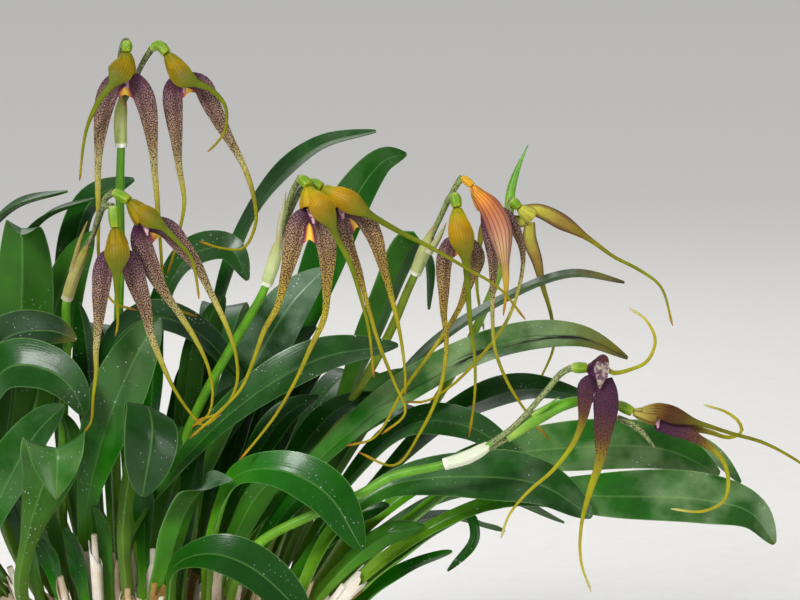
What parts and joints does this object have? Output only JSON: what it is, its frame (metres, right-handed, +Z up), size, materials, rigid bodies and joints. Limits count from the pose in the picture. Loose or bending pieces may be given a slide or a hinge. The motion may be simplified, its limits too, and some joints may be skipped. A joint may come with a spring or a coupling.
{
  "type": "potted masdevallia cinnamomea",
  "caption": "Potted orchid: a clump of leathery strap leaves with long-tailed golden and purple blooms, in a round clay pot.",
  "frame": {"origin": "centre of the pot's flat base", "axes": "+Z up along the pot's axis, -Y towards the viewer of the front, +X to that viewer's right, where the long leaves lean"},
  "size_m": [0.3546, 0.246, 0.3333],
  "materials": {
    "terracotta": "plain fired clay, matt",
    "bark_and_moss": "rough bark chips with moss",
    "leaf_green": "leathery, glossy above, paler and duller below",
    "young_leaf_green": "fresh light green, satin",
    "stem_green": "smooth green stalk with papery cream bracts",
    "sepal_yellow": "golden with faint red veins, olive tail",
    "sepal_orange": "withering orange with cream veins",
    "sepal_purple": "cream densely mottled with purple-brown, golden tail",
    "sepal_dark_purple": "dark purple, golden tail"
  },
  "bodies": {
    "root": {"leafy_stem_front_left_folded": "young_leaf_green", "leafy_stem_left_diagonal": "leaf_green", "leafy_stem_left_hooked": "leaf_green", "leafy_stem_left_brown_tip": "leaf_green", "leafy_stem_left_upright": "leaf_green", "leafy_stem_far_left_arched": "leaf_green", "leafy_stem_left_back": "leaf_green", "leafy_stem_front_glossy": "leaf_green", "leafy_stem_front_rounded": "leaf_green", "leafy_stem_dark_arch": "leaf_green", "leafy_stem_big_diagonal": "leaf_green", "leafy_stem_front_grey_tip": "young_leaf_green", "leafy_stem_front_bright": "leaf_green", "leafy_stem_front_low": "leaf_green", "leafy_stem_sheened": "leaf_green", "leafy_stem_recurved_middle": "leaf_green", "leafy_stem_tall": "leaf_green", "leafy_stem_broad_top": "leaf_green", "leafy_stem_hooked_top": "leaf_green", "leafy_stem_right_low_broad": "leaf_green", "leafy_stem_right_lowest": "leaf_green", "leafy_stem_right_long": "leaf_green", "leafy_stem_spotted": "leaf_green", "leafy_stem_right_thin": "leaf_green", "leafy_stem_right_inner": "leaf_green", "leafy_stem_young_shoots": "young_leaf_green", "leafy_tuft_back_left": "leaf_green", "leafy_tuft_back": "leaf_green", "leafy_tuft_back_right": "leaf_green", "leafy_tuft_right_back": "leaf_green", "flowering_stem_a": "stem_green", "flowering_stem_b": "stem_green", "flowering_stem_c": "stem_green", "flowering_stem_d": "stem_green", "flowering_stem_e": "stem_green", "flowering_stem_f": "stem_green", "bloom_a1_cup_and_upper_sepal": "sepal_yellow", "bloom_a1_side_sepals": "sepal_purple", "bloom_a2_cup_and_upper_sepal": "sepal_yellow", "bloom_a2_side_sepals": "sepal_purple", "bloom_b1_cup_and_upper_sepal": "sepal_yellow", "bloom_b1_side_sepals": "sepal_purple", "bloom_b2_cup_and_upper_sepal": "sepal_yellow", "bloom_b2_side_sepals": "sepal_purple", "bloom_c1_cup_and_upper_sepal": "sepal_yellow", "bloom_c1_side_sepals": "sepal_purple", "bloom_c2_cup_and_upper_sepal": "sepal_yellow", "bloom_c2_side_sepals": "sepal_purple", "bloom_d1_cup_and_upper_sepal": "sepal_yellow", "bloom_d1_side_sepals": "sepal_purple", "bloom_d2_cup_and_upper_sepal": "sepal_orange", "bloom_d2_side_sepals": "sepal_purple", "bloom_e1_cup_and_upper_sepal": "sepal_yellow", "bloom_e1_side_sepals": "sepal_purple", "bloom_f1_cup_and_upper_sepal": "sepal_dark_purple", "bloom_f1_side_sepals": "sepal_dark_purple", "bloom_f2_cup_and_upper_sepal": "sepal_yellow", "bloom_f2_side_sepals": "sepal_purple", "clay_pot": "terracotta", "bark_and_moss": "bark_and_moss"}
  },
  "joints": []
}
